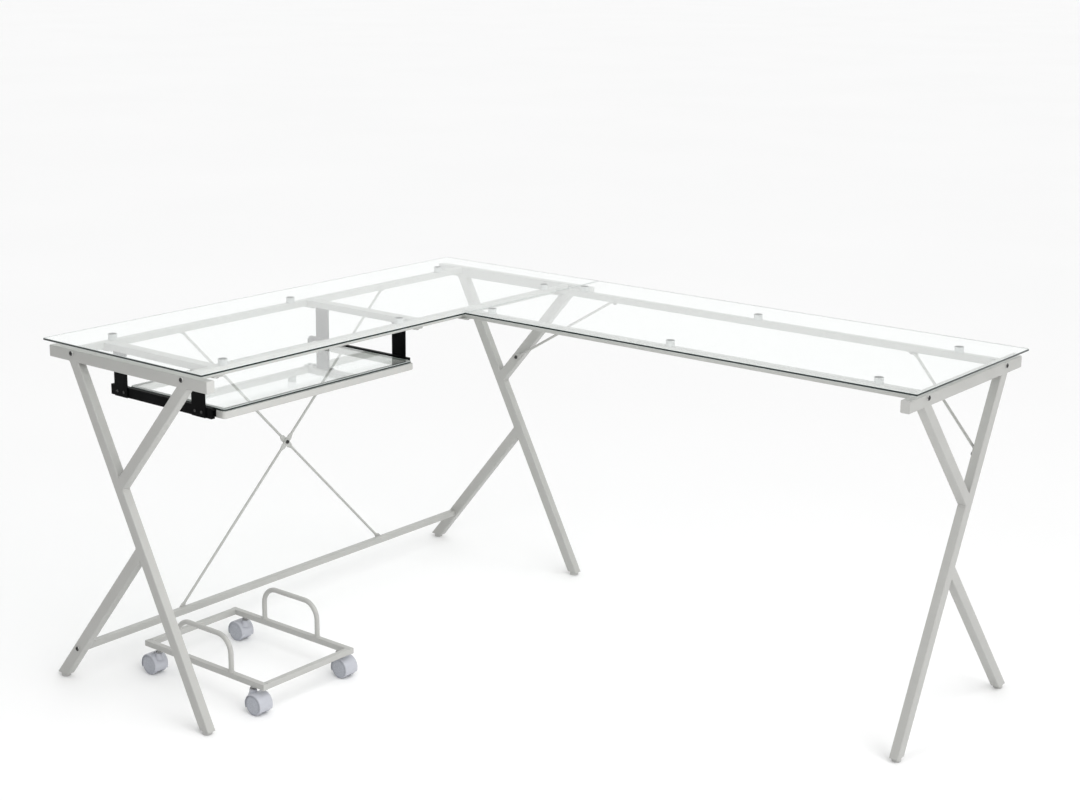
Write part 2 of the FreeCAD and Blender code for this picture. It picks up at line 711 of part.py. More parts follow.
def build_caddy():
    build_caddy_frame()
    half = caddy_tube / 2
    parts["caddy_handles"] = group([handle(caddy_lines[0] + half), handle(caddy_lines[1] - half)])
    stems = []
    for name, (x, y, way) in caster_centres().items():
        stems.append(caster_stem(x, y))
        parts["caster_hood_" + name] = caster_hood(x, y, way)
        parts["caster_wheels_" + name] = caster_wheels(x, y, way)
        side = "caddy_left_tube" if name.startswith("left") else "caddy_right_tube"
        hole = cylinder(V(x, y, caddy_bottom - tool_margin), V(0, 0, 1), caddy_wall + 2 * tool_margin,
                        stem_diameter / 2 + bore_clearance)
        parts[side] = parts[side].cut(hole)
    parts["caster_stems"] = group(stems)


# ---------------------------------------------------------------- fasteners
fasteners = {"frame_bolts": [], "frame_screws": [], "slide_screws": [], "tray_screws": []}
sizes = {"frame_bolts": (bolt_diameter, bolt_head_diameter, bolt_head_height),
         "frame_screws": (screw_diameter, screw_head_diameter, screw_head_height),
         "slide_screws": (small_screw_diameter, small_head_diameter, small_head_height),
         "tray_screws": (small_screw_diameter, small_head_diameter, small_head_height)}


def fasten(kind, place, direction, length, *through):
    """Button-head fastener with a hexagon socket, seated at a place, and its bores."""
    shank_diameter, head_diameter, head_height = sizes[kind]
    head = cylinder(V(0, 0, -head_height), V(0, 0, 1), head_height, head_diameter / 2)
    crown = [edge for edge in head.Edges if edge.BoundBox.ZMax < -head_height + 1e-6]
    head = head.makeFillet(head_height * crown_share, crown)
    key = head_diameter * socket_share
    turns = [math.pi / 3 * i for i in range(7)]
    corners = [V(key * math.cos(turn), key * math.sin(turn), -head_height) for turn in turns]
    socket = Part.Face(Part.makePolygon(corners)).extrude(V(0, 0, head_height * crown_share))
    shank = cylinder(V(0, 0, 0), V(0, 0, 1), length, shank_diameter / 2)
    sideways = V(0, 1, 0) if abs(direction.x) > 0.5 else V(1, 0, 0)
    sideways = in_plane(sideways, direction)
    fasteners[kind].append(facing(head.cut(socket).fuse(shank), place, sideways, direction))
    bore = cylinder(place - direction * tool_margin, direction, length + 2 * tool_margin,
                    shank_diameter / 2 + bore_clearance)
    for name in through:
        parts[name] = parts[name].cut(bore)


def bolt_rails():
    """Bolts through the end rails and lower struts into the plates in the tube ends."""
    length = end_rail_depth + end_plate + bolt_bite
    faces = {"left": (left_frame_y, V(0, 1, 0)), "corner": (corner_frame_y + end_rail_depth, V(0, -1, 0))}
    for name, (face, direction) in faces.items():
        for rail, x in (("left_back_rail", back_rail_line), ("left_front_rail", front_rail_line)):
            fasten("frame_bolts", V(x, face, rail_middle), direction, length, name + "_end_rail", rail)
        fasten("frame_bolts", V(stretcher_x(), face, stretcher_height), direction, length,
               name + "_lower_strut", "stretcher")
    for rail, y in (("right_back_rail", -back_rail_line), ("right_front_rail", -front_rail_line)):
        fasten("frame_bolts", V(right_frame_x + end_rail_depth, y, rail_middle), V(-1, 0, 0), length,
               "right_end_rail", rail)


def screw_joint_plates():
    tubes = ["tray_cross_tube_left", "tray_cross_tube_right", "left_back_rail", "left_front_rail",
             "right_back_rail", "right_front_rail", "joint_plates"]
    for xs, ys, screws in joints():
        for x in screws:
            seat = V(x, (ys[0] + ys[1]) / 2, rail_bottom - joint_plate_thickness)
            fasten("frame_screws", seat, V(0, 0, 1), joint_plate_thickness + screw_bite, *tubes)


def screw_rods():
    """Screws at the rods' flattened ends, and the bolt and nut where the brace rods cross."""
    half_flat = flat_thickness / 2
    rods = ("falling_brace_rod", "rising_brace_rod")
    for top, low in brace_ends():
        for point, piece in ((top, "left_back_rail"), (low, "stretcher")):
            fasten("frame_screws", point - V(half_flat, 0, 0), V(1, 0, 0), rod_screw_length, piece, *rods)
    (corner_top, corner_low), (right_top, right_low) = knee_points()
    for top, rod_name in ((corner_top, "corner_knee_rod"), (right_top, "right_knee_rod")):
        fasten("frame_screws", top - V(0, 0, half_flat), V(0, 0, 1), rod_screw_length,
               "right_back_rail", rod_name)
    fasten("frame_screws", corner_low - V(0, half_flat, 0), V(0, 1, 0), rod_screw_length,
           "corner_upper_strut", "corner_knee_rod")
    fasten("frame_screws", right_low - V(half_flat, 0, 0), V(1, 0, 0), rod_screw_length,
           "right_long_leg", "right_knee_rod")
    middle, normal = brace_crossing()
    fasten("frame_screws", middle - normal * flat_thickness, normal,
           2 * flat_thickness + crossing_spare, *rods)
    nut_start = middle + normal * flat_thickness
    nut = cylinder(nut_start, normal, nut_height, screw_head_diameter / 2)
    hole = cylinder(nut_start, normal, nut_height, screw_diameter / 2)
    fasteners["frame_screws"].append(nut.cut(hole))


def screw_tray_supports():
    """Hanger flanges to the cross tubes, hangers to the slides, slides to the tray."""
    for tube_name, plate_y in (("tray_cross_tube_left", left_plate), ("tray_cross_tube_right", right_plate)):
        y = plate_y + (hanger_thickness + hanger_flange) / 2
        for centre in hanger_lines:
            for x in (centre - hanger_width / 4, centre + hanger_width / 4):
                seat = V(x, y, rail_bottom - hanger_thickness)
                fasten("frame_screws", seat, V(0, 0, 1), hanger_thickness + screw_bite, "slide_hangers",
                       tube_name)
    reach = hanger_thickness + slide_wall
    for side, face, way in (("left", left_plate, 1), ("right", right_plate + hanger_thickness, -1)):
        for centre in hanger_lines:
            for x in (centre - hanger_width / 4, centre + hanger_width / 4):
                fasten("slide_screws", V(x, face, slide_middle_z), V(0, way, 0), reach, "slide_hangers",
                       side + "_slide_outer")
    for side, edge, way in (("left", tray_left, 1), ("right", tray_right, -1)):
        for x in (tray_back + tray_screw_inset, slide_front - tray_screw_inset):
            seat = V(x, edge - way * slide_wall, slide_middle_z)
            fasten("tray_screws", seat, V(0, way, 0), tray_screw_length, side + "_slide_inner",
                   "tray_%s_tube" % side)


# ---------------------------------------------------------------- the whole desk
def build():
    parts["left_glass_top"] = glass_sheet((0, wing_depth), (-left_glass_length, 0), top_height,
                                          glass_corner_radius)
    parts["right_glass_top"] = glass_sheet((right_start + glass_seam, right_end), (-wing_depth, 0),
                                           top_height, glass_corner_radius)
    parts["glass_support_pads"] = support_pads()
    build_end_frames()
    build_rails()
    build_brace()
    build_knee_rods()
    build_cross_tubes()
    build_joint_plates()
    build_hangers()
    build_slides()
    build_tray()
    build_caddy()
    bolt_rails()
    screw_joint_plates()
    screw_rods()
    screw_tray_supports()
    for name, shapes in fasteners.items():
        parts[name] = group(shapes)


def export():
    """Write one file per node, with the origin under the middle of the desk."""
    os.makedirs("parts", exist_ok=True)
    origin = middle_of_desk()
    for name, shape in parts.items():
        shape = shape.copy()
        shape.translate(-origin)
        solids = shape.Solids
        shape = solids[0] if len(solids) == 1 else Part.makeCompound(solids)
        shape.exportStep("parts/%s.step" % name)


build()
export()
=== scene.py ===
from math import cos, pi, radians, sin, sqrt

import bmesh
import bpy
import numpy as np
from mathutils import Matrix, Vector


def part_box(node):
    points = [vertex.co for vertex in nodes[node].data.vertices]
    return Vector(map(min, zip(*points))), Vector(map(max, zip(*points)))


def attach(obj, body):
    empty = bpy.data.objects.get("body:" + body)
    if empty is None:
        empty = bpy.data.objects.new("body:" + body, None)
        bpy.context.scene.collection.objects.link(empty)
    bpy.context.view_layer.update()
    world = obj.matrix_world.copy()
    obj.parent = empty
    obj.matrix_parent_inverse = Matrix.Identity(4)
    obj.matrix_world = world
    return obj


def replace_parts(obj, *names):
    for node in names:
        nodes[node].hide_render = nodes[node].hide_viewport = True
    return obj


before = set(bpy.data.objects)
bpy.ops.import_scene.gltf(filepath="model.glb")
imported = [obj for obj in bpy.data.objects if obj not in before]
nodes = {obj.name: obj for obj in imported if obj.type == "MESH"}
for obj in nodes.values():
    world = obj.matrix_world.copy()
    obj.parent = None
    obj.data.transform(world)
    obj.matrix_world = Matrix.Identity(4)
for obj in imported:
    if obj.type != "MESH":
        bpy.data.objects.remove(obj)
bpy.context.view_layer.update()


def shader_start(name):
    """New material with its nodes, the Principled shader and its output."""
    finish = bpy.data.materials.new(name)
    finish.use_nodes = True
    tree = finish.node_tree
    return finish, tree.nodes, tree.links, tree.nodes["Principled BSDF"]


def grain(net, links, scale, detail=3.0, stretch=(1, 1, 1)):
    """Noise that sits on the piece itself, from its Object coordinates."""
    where = net.new("ShaderNodeTexCoord")
    turned = net.new("ShaderNodeMapping")
    turned.inputs["Scale"].default_value = stretch
    noise = net.new("ShaderNodeTexNoise")
    noise.inputs["Scale"].default_value = scale
    noise.inputs["Detail"].default_value = detail
    links.new(where.outputs["Object"], turned.inputs["Vector"])
    links.new(turned.outputs["Vector"], noise.inputs["Vector"])
    return noise


def spread(net, links, source, low, high):
    """Noise value moved from its middle range to the range from low to high."""
    moved = net.new("ShaderNodeMapRange")
    moved.inputs["From Min"].default_value = 0.3
    moved.inputs["From Max"].default_value = 0.7
    moved.inputs["To Min"].default_value = low
    moved.inputs["To Max"].default_value = high
    links.new(source.outputs["Fac"], moved.inputs["Value"])
    return moved


def tones(net, links, source, dark, light):
    """Colour that drifts between two close tones with the noise."""
    ramp = net.new("ShaderNodeValToRGB")
    ramp.color_ramp.elements[0].position = 0.3
    ramp.color_ramp.elements[0].color = (*dark, 1)
    ramp.color_ramp.elements[1].position = 0.7
    ramp.color_ramp.elements[1].color = (*light, 1)
    links.new(source.outputs["Fac"], ramp.inputs["Fac"])
    return ramp


def textured(name, dark, light, roughness, grain_size, bump, metallic=0.0, drift=0.06, stretch=(1, 1, 1)):
    """Opaque finish: two close tones, uneven gloss and a fine bump, sizes in metres."""
    finish, net, links, shader = shader_start(name)
    wide = grain(net, links, 1 / drift, 2.0)
    links.new(tones(net, links, wide, dark, light).outputs["Color"], shader.inputs["Base Color"])
    fine = grain(net, links, 1 / grain_size, 2.0, stretch)
    links.new(spread(net, links, fine, *roughness).outputs["Result"], shader.inputs["Roughness"])
    bumps = net.new("ShaderNodeBump")
    bumps.inputs["Strength"].default_value = 1.0
    bumps.inputs["Distance"].default_value = bump
    links.new(fine.outputs["Fac"], bumps.inputs["Height"])
    links.new(bumps.outputs["Normal"], shader.inputs["Normal"])
    shader.inputs["Metallic"].default_value = metallic
    return finish


studio_floor = textured("studio floor", (0.935, 0.935, 0.935), (0.95, 0.95, 0.95), (0.7, 0.8),
                        0.02, 0.0, drift=1.5)
floor_mesh = bpy.data.meshes.new("floor")
reach = 40.0
floor_mesh.from_pydata([(-reach, -reach, 0), (reach, -reach, 0), (reach, reach, 0), (-reach, reach, 0)],
                       [], [(0, 1, 2, 3)])
floor_mesh.materials.append(studio_floor)
floor = bpy.data.objects.new("floor", floor_mesh)
bpy.context.scene.collection.objects.link(floor)

sky = bpy.data.worlds.new("studio")
sky.use_nodes = True
air, ties = sky.node_tree.nodes, sky.node_tree.links
direction = air.new("ShaderNodeTexCoord")
towards_corner = air.new("ShaderNodeVectorMath")
towards_corner.operation = "DOT_PRODUCT"
towards_corner.inputs[1].default_value = (-0.62, 0.78, 0)
brightness = air.new("ShaderNodeMapRange")
brightness.interpolation_type = "SMOOTHSTEP"
brightness.inputs["From Min"].default_value = -0.3
brightness.inputs["From Max"].default_value = 0.75
brightness.inputs["To Min"].default_value = 0.53
brightness.inputs["To Max"].default_value = 1.06
ties.new(direction.outputs["Generated"], towards_corner.inputs[0])
ties.new(towards_corner.outputs["Value"], brightness.inputs["Value"])
ties.new(brightness.outputs["Result"], air["Background"].inputs["Strength"])
air["Background"].inputs["Color"].default_value = (1, 1, 1, 1)
bpy.context.scene.world = sky
bpy.context.scene.view_settings.view_transform = "Standard"

key_light = bpy.data.lights.new("soft key", "SUN")
key_light.energy = 1.35
key_light.angle = radians(70)
key = bpy.data.objects.new("soft key", key_light)
key.matrix_world = Vector((0.74, -0.06, 0.67)).to_track_quat("Z", "Y").to_matrix().to_4x4()
bpy.context.scene.collection.objects.link(key)
for name, place, aim, size, watts in (("corner fill", (0.4, -0.7, 1.1), (-0.5, 0.6, 0.4), 0.9, 5.5),
                                      ("end fill", (2.6, -0.4, 1.1), (0.8, 0.0, 0.4), 1.2, 8.5)):
    fill_light = bpy.data.lights.new(name, "AREA")
    fill_light.size = size
    fill_light.energy = watts
    fill = bpy.data.objects.new(name, fill_light)
    facing = (Vector(place) - Vector(aim)).to_track_quat("Z", "Y").to_matrix().to_4x4()
    fill.matrix_world = Matrix.Translation(place) @ facing
    fill.visible_camera = fill.visible_glossy = fill.visible_transmission = False
    bpy.context.scene.collection.objects.link(fill)

camera = bpy.data.cameras.new("camera")
camera.sensor_width = 36
camera.lens = 60.35
camera.shift_y = -0.0648
camera.clip_end = 200
azimuth, elevation, roll = radians(38.70), radians(12.53), radians(0.50)
ahead = Vector((-sin(azimuth) * cos(elevation), cos(azimuth) * cos(elevation), -sin(elevation)))
level_right = ahead.cross(Vector((0, 0, 1))).normalized()
level_up = level_right.cross(ahead)
right = level_right * cos(roll) + level_up * sin(roll)
up = level_up * cos(roll) - level_right * sin(roll)
stand = bpy.data.objects.new("camera", camera)
stand.matrix_world = (Matrix.Translation((2.30542, -2.85693, 1.59913))
                      @ Matrix((right, up, -ahead)).transposed().to_4x4())
bpy.context.scene.collection.objects.link(stand)
bpy.context.scene.camera = stand

# ------------------------------------------------------------------ end frames
# Three frames of 25 by 20 mm steel tube: a top rail over a long leg and two struts, powder
# coated off-white. The tubes are welded, and a low rippled bead shows under the paint.
rail_plug_cap = 0.002
frame_depth = 0.020
leg_width = 0.025
powder_coat = textured("off-white powder coat", (0.402, 0.402, 0.385), (0.418, 0.418, 0.402),
                       (0.34, 0.46), 0.0012, 0.000012)
for name, piece in nodes.items():
    if piece.data.materials and ("tube" in name or "rail" in name or "strut" in name
                                 or name.endswith("_long_leg") or name == "stretcher"):
        piece.material_slots[0].material = powder_coat


def cells(rows, columns, start):
    """Quads between neighbouring points of a grid whose last column joins its first."""
    i, j = np.meshgrid(np.arange(rows - 1), np.arange(columns), indexing="ij")
    k = (j + 1) % columns
    corners = np.stack([i * columns + j, i * columns + k, (i + 1) * columns + k, (i + 1) * columns + j], -1)
    return corners.reshape(-1, 4) + start


def made(name, grids, body, finishes, bands=None, crease=35):
    """One closed piece from grids of points (rows, columns, xyz).

    Columns join round, a row of one repeated point closes an end, and bands gives each strip
    between two rows the number of its finish.
    """
    points, faces, looks, start = [], [], [], 0
    for grid in grids:
        rows, columns = grid.shape[:2]
        points.append(grid.reshape(-1, 3))
        faces.append(cells(rows, columns, start))
        strips = np.zeros(rows - 1, int) if bands is None else np.array(bands)
        looks.append(np.repeat(strips, columns))
        start += rows * columns
    mesh = bpy.data.meshes.new(name)
    mesh.from_pydata(np.concatenate(points).tolist(), [], np.concatenate(faces).tolist())
    mesh.polygons.foreach_set("material_index", np.concatenate(looks).astype(np.int32))
    for finish in finishes:
        mesh.materials.append(finish)
    shape = bmesh.new()
    shape.from_mesh(mesh)
    bmesh.ops.remove_doubles(shape, verts=shape.verts, dist=2e-6)
    bmesh.ops.dissolve_degenerate(shape, edges=shape.edges, dist=1e-6)
    bmesh.ops.recalc_face_normals(shape, faces=shape.faces)
    shape.to_mesh(mesh)
    shape.free()
    mesh.shade_smooth()
    mesh.set_sharp_from_angle(angle=radians(crease))
    piece = bpy.data.objects.new(name, mesh)
    bpy.context.scene.collection.objects.link(piece)
    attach(piece, body)
    return piece


def around(count, shift=0.0):
    """Angles of a ring's points."""
    return np.linspace(0, 2 * pi, count, endpoint=False) + shift


def weld_bead(first, last, width, height, flat, lumps, ripple=0.10):
    """Low rippled bead from first to last.

    Its section is an ellipse of a width across and a height along flat; its radius swells with a
    cosine once per lump and falls to nothing at both ends.
    """
    first, last, flat = (np.array(v, float) for v in (first, last, flat))
    run = last - first
    across = np.cross(run, flat)
    across /= np.linalg.norm(across)
    t = np.linspace(0, 1, 8 * lumps + 1)
    swell = (1 + ripple * np.cos(2 * pi * lumps * t)) * (1 - np.abs(2 * t - 1) ** 12) ** 0.5
    turn = around(10)
    ring = (np.cos(turn)[:, None] * across * width + np.sin(turn)[:, None] * flat * height) / 2
    return first + t[:, None, None] * run + swell[:, None, None] * ring


def in_frame(name, u, w, z):
    """Point of an end frame: u along its rail from the end by the wing's outer side, w through
    its depth, z above the floor."""
    low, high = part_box(name + "_end_rail")
    if name == "right":
        return (low[0] + w, high[1] + rail_plug_cap - u, z)
    return (low[0] - rail_plug_cap + u, low[1] + w, z)


rail_low, rail_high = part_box("left_end_rail")
rail_run = rail_high[0] - rail_low[0] + 2 * rail_plug_cap
frame_top = rail_low[2]
foot_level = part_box("left_long_leg")[0][2]
leg_line = np.array([[0.078, frame_top], [rail_run - 0.043, foot_level]])
lean = (leg_line[1, 0] - leg_line[0, 0]) / (frame_top - foot_level)


def leg_side(z, side):
    """Where the long leg's edge is at a height, on the side -1 or 1."""
    return leg_line[0, 0] + (frame_top - z) * lean + side * leg_width / 2 * sqrt(1 + lean ** 2)


upper_node, lower_node = 0.483, 0.341
seam_depth, seam_shift = 0.0013, 0.0010   # a seam bead fills the groove at the tube's rounded edge
upper_strut = ((rail_run - 0.074, frame_top), (leg_side(upper_node, 1), upper_node))
lower_strut = ((leg_side(lower_node, -1), lower_node), (-0.014, foot_level))


def meeting(strut, side, edge):
    """Height at which a strut's edge (-1 or 1) meets the long leg's edge on that side."""
    (top_u, top_z), (foot_u, foot_z) = strut
    slope = (top_u - foot_u) / (top_z - foot_z)
    half = leg_width / 2 * sqrt(1 + slope ** 2)
    leg_u = leg_line[0, 0] + frame_top * lean + side * leg_width / 2 * sqrt(1 + lean ** 2)
    return (leg_u - foot_u + foot_z * slope - edge * half) / (slope + lean)


cut_stretch = 1.17                        # slanting cut over the tube's width, at the struts' tops
weld_size = 0.0044
bead_inset = 0.001                        # bead's end to the tube's face
seam_width, seam_cover = 0.0054, 0.0002   # cover: how much fuller than its groove the bead is
upright = np.array((0, 0, 1.0))
strut_half_cut = leg_width / 2 * cut_stretch
for name in ("left", "corner", "right"):
    beads = []
    spots = []
    for side in (-1, 1):
        spots.append((leg_side(frame_top, side), frame_top))
        spots.append((upper_strut[0][0] + side * strut_half_cut, frame_top))
        height = meeting(upper_strut, 1, side)
        spots.append((leg_side(height, 1), height))
        height = meeting(lower_strut, -1, side)
        spots.append((leg_side(height, -1), height))
    for u, z in spots:
        ends = [in_frame(name, u, w, z) for w in (bead_inset, frame_depth - bead_inset)]
        beads.append(weld_bead(*ends, weld_size, weld_size, upright, 7))
    seams = [((leg_side(frame_top, -1), frame_top), (leg_side(frame_top, 1), frame_top), (0, 1)),
             ((upper_strut[0][0] - strut_half_cut, frame_top),
              (upper_strut[0][0] + strut_half_cut, frame_top), (0, 1))]
    for strut, side in ((upper_strut, 1), (lower_strut, -1)):
        heights = [meeting(strut, side, edge) for edge in (-1, 1)]
        seams.append(tuple((leg_side(z, side), z) for z in heights) + ((-side, 0),))
    for (u0, z0), (u1, z1), (lean_u, lean_z) in seams:
        for w in (seam_depth, frame_depth - seam_depth):
            ends = [in_frame(name, u + lean_u * seam_shift, w, z + lean_z * seam_shift)
                    for u, z in ((u0, z0), (u1, z1))]
            through = np.array(in_frame(name, u0, w + 1, z0)) - np.array(in_frame(name, u0, w, z0))
            beads.append(weld_bead(*ends, seam_width, 2 * seam_depth + seam_cover, through, 9, 0.03))
    made(name + "_frame_welds", beads, "desk", [powder_coat])

# ------------------------------------------------------------------ rail plugs and floor glides
# Moulded plugs close the six open rail ends, and short round glides are pushed into the feet.
plug_plastic = textured("off-white plug plastic", (0.405, 0.405, 0.392), (0.42, 0.42, 0.405), (0.3, 0.4),
                        0.0009, 0.000006)
glide_plastic = textured("pale glide plastic", (0.40, 0.40, 0.39), (0.43, 0.43, 0.415), (0.35, 0.5),
                         0.0011, 0.00001)
nodes["rail_end_plugs"].material_slots[0].material = plug_plastic
nodes["floor_glides"].material_slots[0].material = glide_plastic

# ------------------------------------------------------------------ frame bolts
# Eight M6 button heads with hexagon sockets hold the long rails and the stretcher to the frames.
# They are blackened, with a painted highlight as a bright steel ring round the lower dome and flank, and
# painted shade in the socket.
head_steel = textured("blackened bolt head", (0.05, 0.05, 0.05), (0.09, 0.09, 0.088), (0.25, 0.4), 0.0006,
                      0.000004, metallic=0.8, drift=0.004)
# painted highlight: a bright steel ring on the lower dome and flank of each head
painted_highlight_rim = textured("bright bolt rim", (0.6, 0.6, 0.59), (0.75, 0.75, 0.74), (0.2, 0.35), 0.0006,
                      0.000004, metallic=0.9, drift=0.004)
# painted shade: near-black in the hexagon socket
socket_shade = textured("dark bolt socket", (0.02, 0.02, 0.02), (0.035, 0.035, 0.034), (0.5, 0.65), 0.0006,
                        0.000004, metallic=0.6)
for name in ("frame_screws", "slide_screws", "tray_screws"):
    nodes[name].material_slots[0].material = head_steel


def button_head(seat, inwards, radius, height, shank, length):
    """Turned button head: rows go from the socket's floor up its six walls, over the dome (a
    quarter ellipse), down to the seat and along the shank. The socket's rows are a hexagon: its
    radius is the flat distance over the cosine of the angle to the nearest flat's middle."""
    seat, inwards = np.array(seat, float), np.array(inwards, float)
    side = np.cross(inwards, (0.3, 0.5, 0.8))
    side /= np.linalg.norm(side)
    other = np.cross(inwards, side)
    turn = around(36)
    flat = radius * 0.44
    hexagon = flat / np.cos((turn % (pi / 3)) - pi / 6)
    rise = np.linspace(0, pi / 2, 7)
    rings = [(0 * turn, 0.45), (hexagon, 0.45), (hexagon, 1.0), (hexagon + 0.00025, 1.0)]
    rings += [(radius * 0.62 + radius * 0.38 * sin(a) + 0 * turn, 0.3 + 0.7 * cos(a)) for a in rise]
    rings += [(radius + 0 * turn, 0.0), (shank + 0 * turn, 0.0), (shank + 0 * turn, -length / height),
              (0 * turn, -length / height)]
    rows = [seat - inwards * height * h + np.cos(turn)[:, None] * r[:, None] * side
            + np.sin(turn)[:, None] * r[:, None] * other for r, h in rings]
    return np.stack(rows)


head_radius, head_height, shank_radius, shank_length = 0.0055, 0.0032, 0.003, 0.03
head_sizes = (head_radius, head_height, shank_radius, shank_length)
# band 1 paints shade into the socket, band 2 paints a highlight round the rim
head_bands = [1, 1] + 6 * [0] + 3 * [2] + 3 * [0]   # socket, dome, bright rim, seat and shank
bolts = []
for rail in ("left_back_rail", "left_front_rail", "stretcher"):
    low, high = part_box(rail)
    x, z = (low[0] + high[0]) / 2, (low[2] + high[2]) / 2
    bolts.append(button_head((x, low[1] - frame_depth, z), (0, 1, 0), *head_sizes))
    bolts.append(button_head((x, high[1] + frame_depth, z), (0, -1, 0), *head_sizes))
for rail in ("right_back_rail", "right_front_rail"):
    low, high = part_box(rail)
    y, z = (low[1] + high[1]) / 2, (low[2] + high[2]) / 2
    bolts.append(button_head((high[0] + frame_depth, y, z), (-1, 0, 0), *head_sizes))
bolt_heads = made("rail_bolts", bolts, "desk", [head_steel, socket_shade, painted_highlight_rim],
                  bands=head_bands)
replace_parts(bolt_heads, "frame_bolts")

# ------------------------------------------------------------------ brace and knee rods
# 6 mm round rods, hammered flat where they are screwed on and where the two brace rods cross,
# in the frame's paint. The flat runs into the round over about a centimetre.
rod_radius = 0.003
flat_half_width, flat_half_depth = 0.007, 0.00125
flat_reach, corner_reach, bend_run = 0.009, 0.013, 0.009   # screw to the flat's end, to the bend's corner


def unit(v):
    return v / np.linalg.norm(v)


def rod_end(place, away, run):
    """Centre line and flatness from an end's tip to the round rod.

    The flat lies along the run's share in the seat's plane, then a quadratic curve lifts it off the
    seat and turns it into the run. Flatness falls from 1 to 0 with a smooth step.
    """
    along = unit(run - run.dot(away) * away)
    tip = flat_half_width * (np.linspace(0, 1, 8) ** 2 - 1)
    straight = np.concatenate([tip, [0.003, 0.006, flat_reach]])[:, None] * along
    corner = along * corner_reach + away * (rod_radius - flat_half_depth)
    t = np.linspace(0, 1, 9)[1:, None]
    curve_end = corner + unit(run) * bend_run
    curve = (1 - t) ** 2 * flat_reach * along + 2 * t * (1 - t) * corner + t ** 2 * curve_end
    line = place + np.concatenate([straight, curve])
    step = np.clip((np.linspace(0, 1, 9)[1:] - 0.1) / 0.9, 0, 1)
    flat = np.concatenate([np.ones(11), 1 - step * step * (3 - 2 * step)])
    tip_width = np.concatenate([np.sqrt(1 - (tip / flat_half_width) ** 2), np.ones(11)])
    return line, flat, tip_width


def bent_rod(first, first_away, last, last_away, crossing=None):
    """Rod between two screws. Its section is a superellipse whose half sizes and power go from
    round to flat with the flatness; crossing adds a flat at the middle, moved to one side by half
    its thickness."""
    first, last, first_away, last_away = (np.array(v, float) for v in (first, last, first_away, last_away))
    run = last - first
    line, flat, tip_width = rod_end(first, first_away, run)
    line_b, flat_b, tip_width_b = rod_end(last, last_away, -run)
    start, stop = line[-1], line_b[-1]
    length = np.linalg.norm(stop - start)
    if crossing is None:
        s = np.linspace(0, 1, 8)[1:-1] * length
        middle = start + s[:, None] * unit(stop - start)
        middle_flat = 0 * s
    else:
        near = np.linspace(-0.030, 0.030, 21)
        s = length / 2 + near
        step = np.clip((0.026 - np.abs(near)) / 0.012, 0, 1)
        middle_flat = step * step * (3 - 2 * step)
        middle = (start + s[:, None] * unit(stop - start)
                  + (middle_flat * flat_half_depth)[:, None] * np.array(crossing))
    centre = np.concatenate([line, middle, line_b[::-1]])
    flat = np.concatenate([flat, middle_flat, flat_b[::-1]])[:, None]
    tips = np.concatenate([tip_width, 1 + 0 * s, tip_width_b[::-1]])[:, None]
    n_a, n_m, n_b = len(line), len(s), len(line_b)
    share = np.concatenate([np.zeros(n_a), np.linspace(0, 1, n_m), np.ones(n_b)])[:, None]
    away = first_away * (1 - share) + last_away * share
    if crossing is not None:
        facing_way = np.array(crossing) * np.sign(np.dot(crossing, first_away + last_away))
        pull = np.concatenate([np.zeros(n_a), np.ones(n_m), np.zeros(n_b)])[:, None]
        away = away * (1 - pull) + facing_way * pull
    ahead = np.gradient(centre, axis=0)
    ahead /= np.linalg.norm(ahead, axis=1)[:, None]
    away = away - (away * ahead).sum(1)[:, None] * ahead
    away /= np.linalg.norm(away, axis=1)[:, None]
    wide = np.cross(away, ahead)
    turn = around(24)
    power = 1 - 0.65 * flat
    c, d = np.cos(turn), np.sin(turn)
    half_width = (rod_radius + (flat_half_width - rod_radius) * flat) * tips
    half_depth = (rod_radius + (flat_half_depth - rod_radius) * flat) * np.clip(2 * tips, 0, 1)
    across = np.sign(c) * np.abs(c) ** power * half_width
    through = np.sign(d) * np.abs(d) ** power * half_depth
    return centre[:, None] + across[..., None] * wide[:, None] + through[..., None] * away[:, None]


back_low, back_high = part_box("left_back_rail")
bar_low, bar_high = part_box("stretcher")
brace_inset = 0.271
rail_mid, bar_mid = (back_low[2] + back_high[2]) / 2, (bar_low[2] + bar_high[2]) / 2
y_left, y_right = back_low[1] + brace_inset, back_high[1] - brace_inset
top_x, low_x = back_low[0] - flat_half_depth, bar_low[0] - flat_half_depth
brace_points = {"falling_brace_rod": ((top_x, y_left, rail_mid), (low_x, y_right, bar_mid)),
                "rising_brace_rod": ((top_x, y_right, rail_mid), (low_x, y_left, bar_mid))}
falls = [np.array(b) - np.array(a) for a, b in brace_points.values()]
cross_away = unit(np.cross(falls[0], falls[1]))
for (name, (top, low)), way in zip(brace_points.items(), (1, -1)):
    shape = bent_rod(top, (-1, 0, 0), low, (-1, 0, 0), cross_away * way)
    brace = made(name.replace("_rod", ""), [shape], "desk", [powder_coat], crease=50)
    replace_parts(brace, name)

knee_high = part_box("corner_knee_rod")[1]
corner_knee_drop, right_knee_drop, right_knee_run = 0.179, 0.155, 0.193
corner_low_z = frame_top - corner_knee_drop
strut_slope = (upper_strut[0][0] - upper_strut[1][0]) / (upper_strut[0][1] - upper_strut[1][1])
corner_u = upper_strut[1][0] + (corner_low_z - upper_node) * strut_slope
right_back_low, right_back_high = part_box("right_back_rail")
right_mid_y = (right_back_low[1] + right_back_high[1]) / 2
under_rail = right_back_low[2] - flat_half_depth
corner_foot = np.array(in_frame("corner", corner_u, -flat_half_depth, corner_low_z))
corner_head = np.array((knee_high[0] - flat_half_width * 0.98, right_mid_y, under_rail))
shape = bent_rod(corner_head, (0, 0, -1), corner_foot, (0, -1, 0))
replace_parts(made("corner_knee", [shape], "desk", [powder_coat], crease=50), "corner_knee_rod")
right_low_z = frame_top - right_knee_drop
